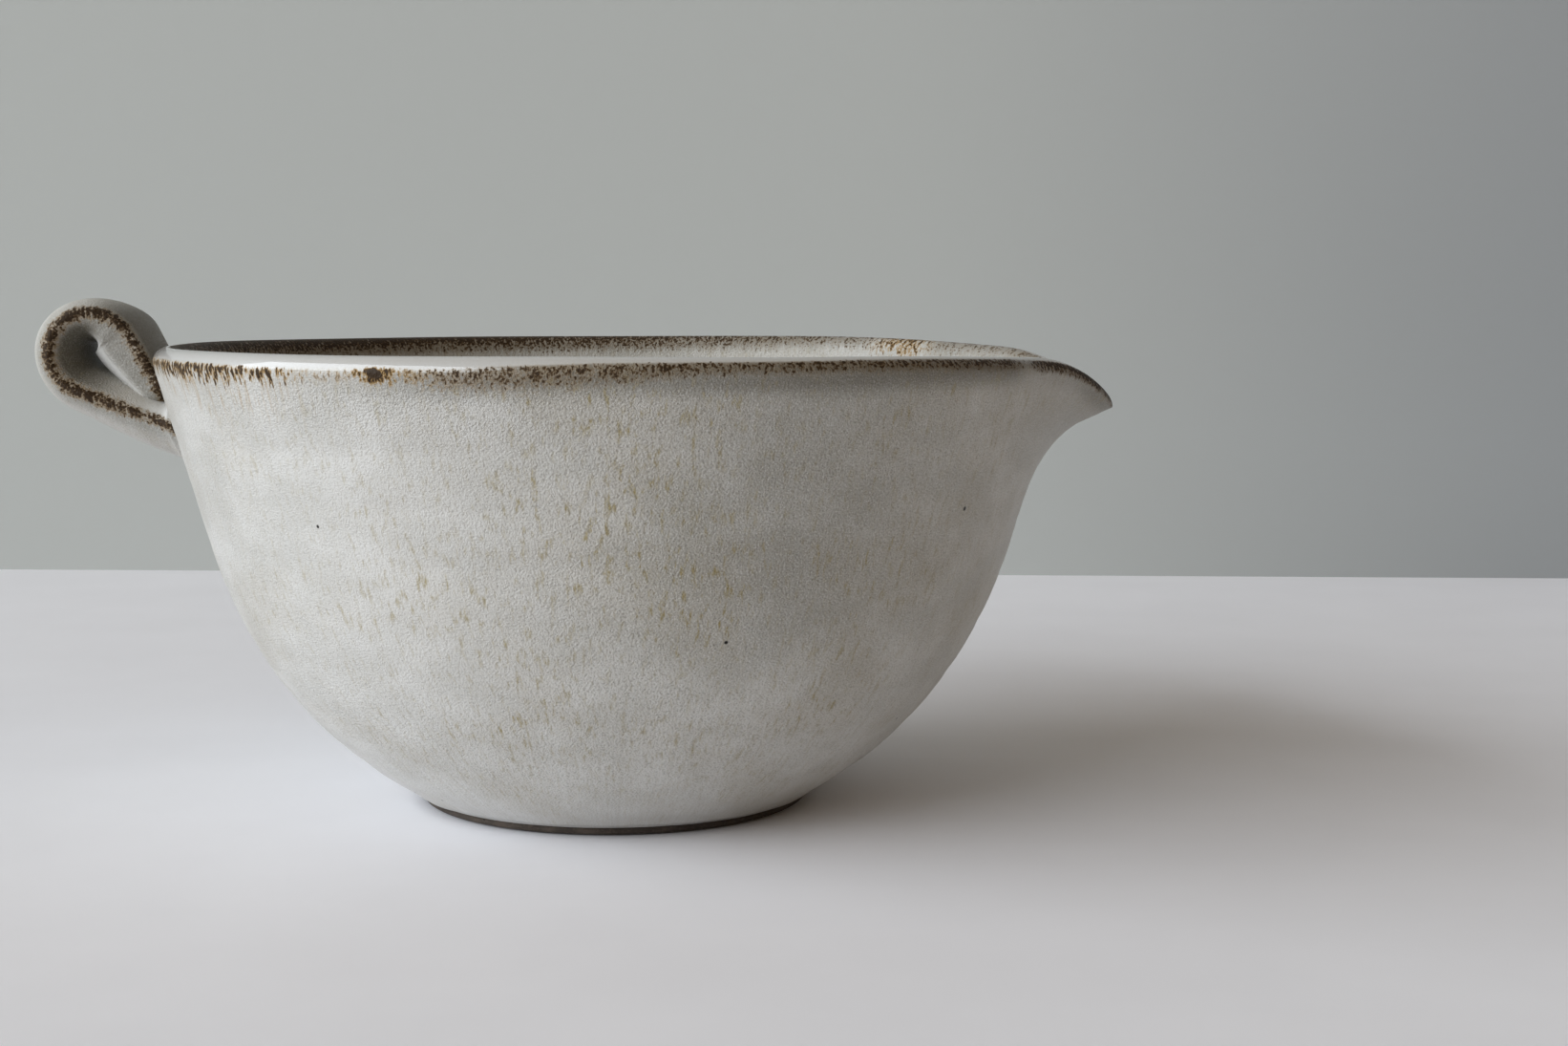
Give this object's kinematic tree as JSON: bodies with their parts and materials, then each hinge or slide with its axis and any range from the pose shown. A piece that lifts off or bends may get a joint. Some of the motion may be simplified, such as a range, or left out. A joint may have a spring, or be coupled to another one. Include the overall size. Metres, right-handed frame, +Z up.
{
  "type": "pouring bowl",
  "caption": "Hand-thrown stoneware bowl with flared wall, pulled pouring spout, small strap loop handle and bare clay foot ring, glazed off-white with brown breaking at the rim.",
  "frame": {"origin": "on the resting plane, under the middle of the whole outline", "axes": "+Z up out of the bowl, +X towards the spout, -X towards the handle, Y across"},
  "size_m": [0.1623, 0.1356, 0.0754],
  "materials": {
    "bowl_glaze": "satin off-white glaze, brown where it breaks over the rim",
    "handle_glaze": "satin off-white glaze, brown along the strap's edges",
    "luting_slip": "fired slip under the glaze",
    "bare_clay": "unglazed dark stoneware"
  },
  "bodies": {
    "root": {"thrown_bowl": "bowl_glaze", "foot_ring": "bare_clay", "handle_strap": "handle_glaze", "upper_luting_slip": "luting_slip", "lower_luting_slip": "luting_slip"}
  },
  "joints": []
}
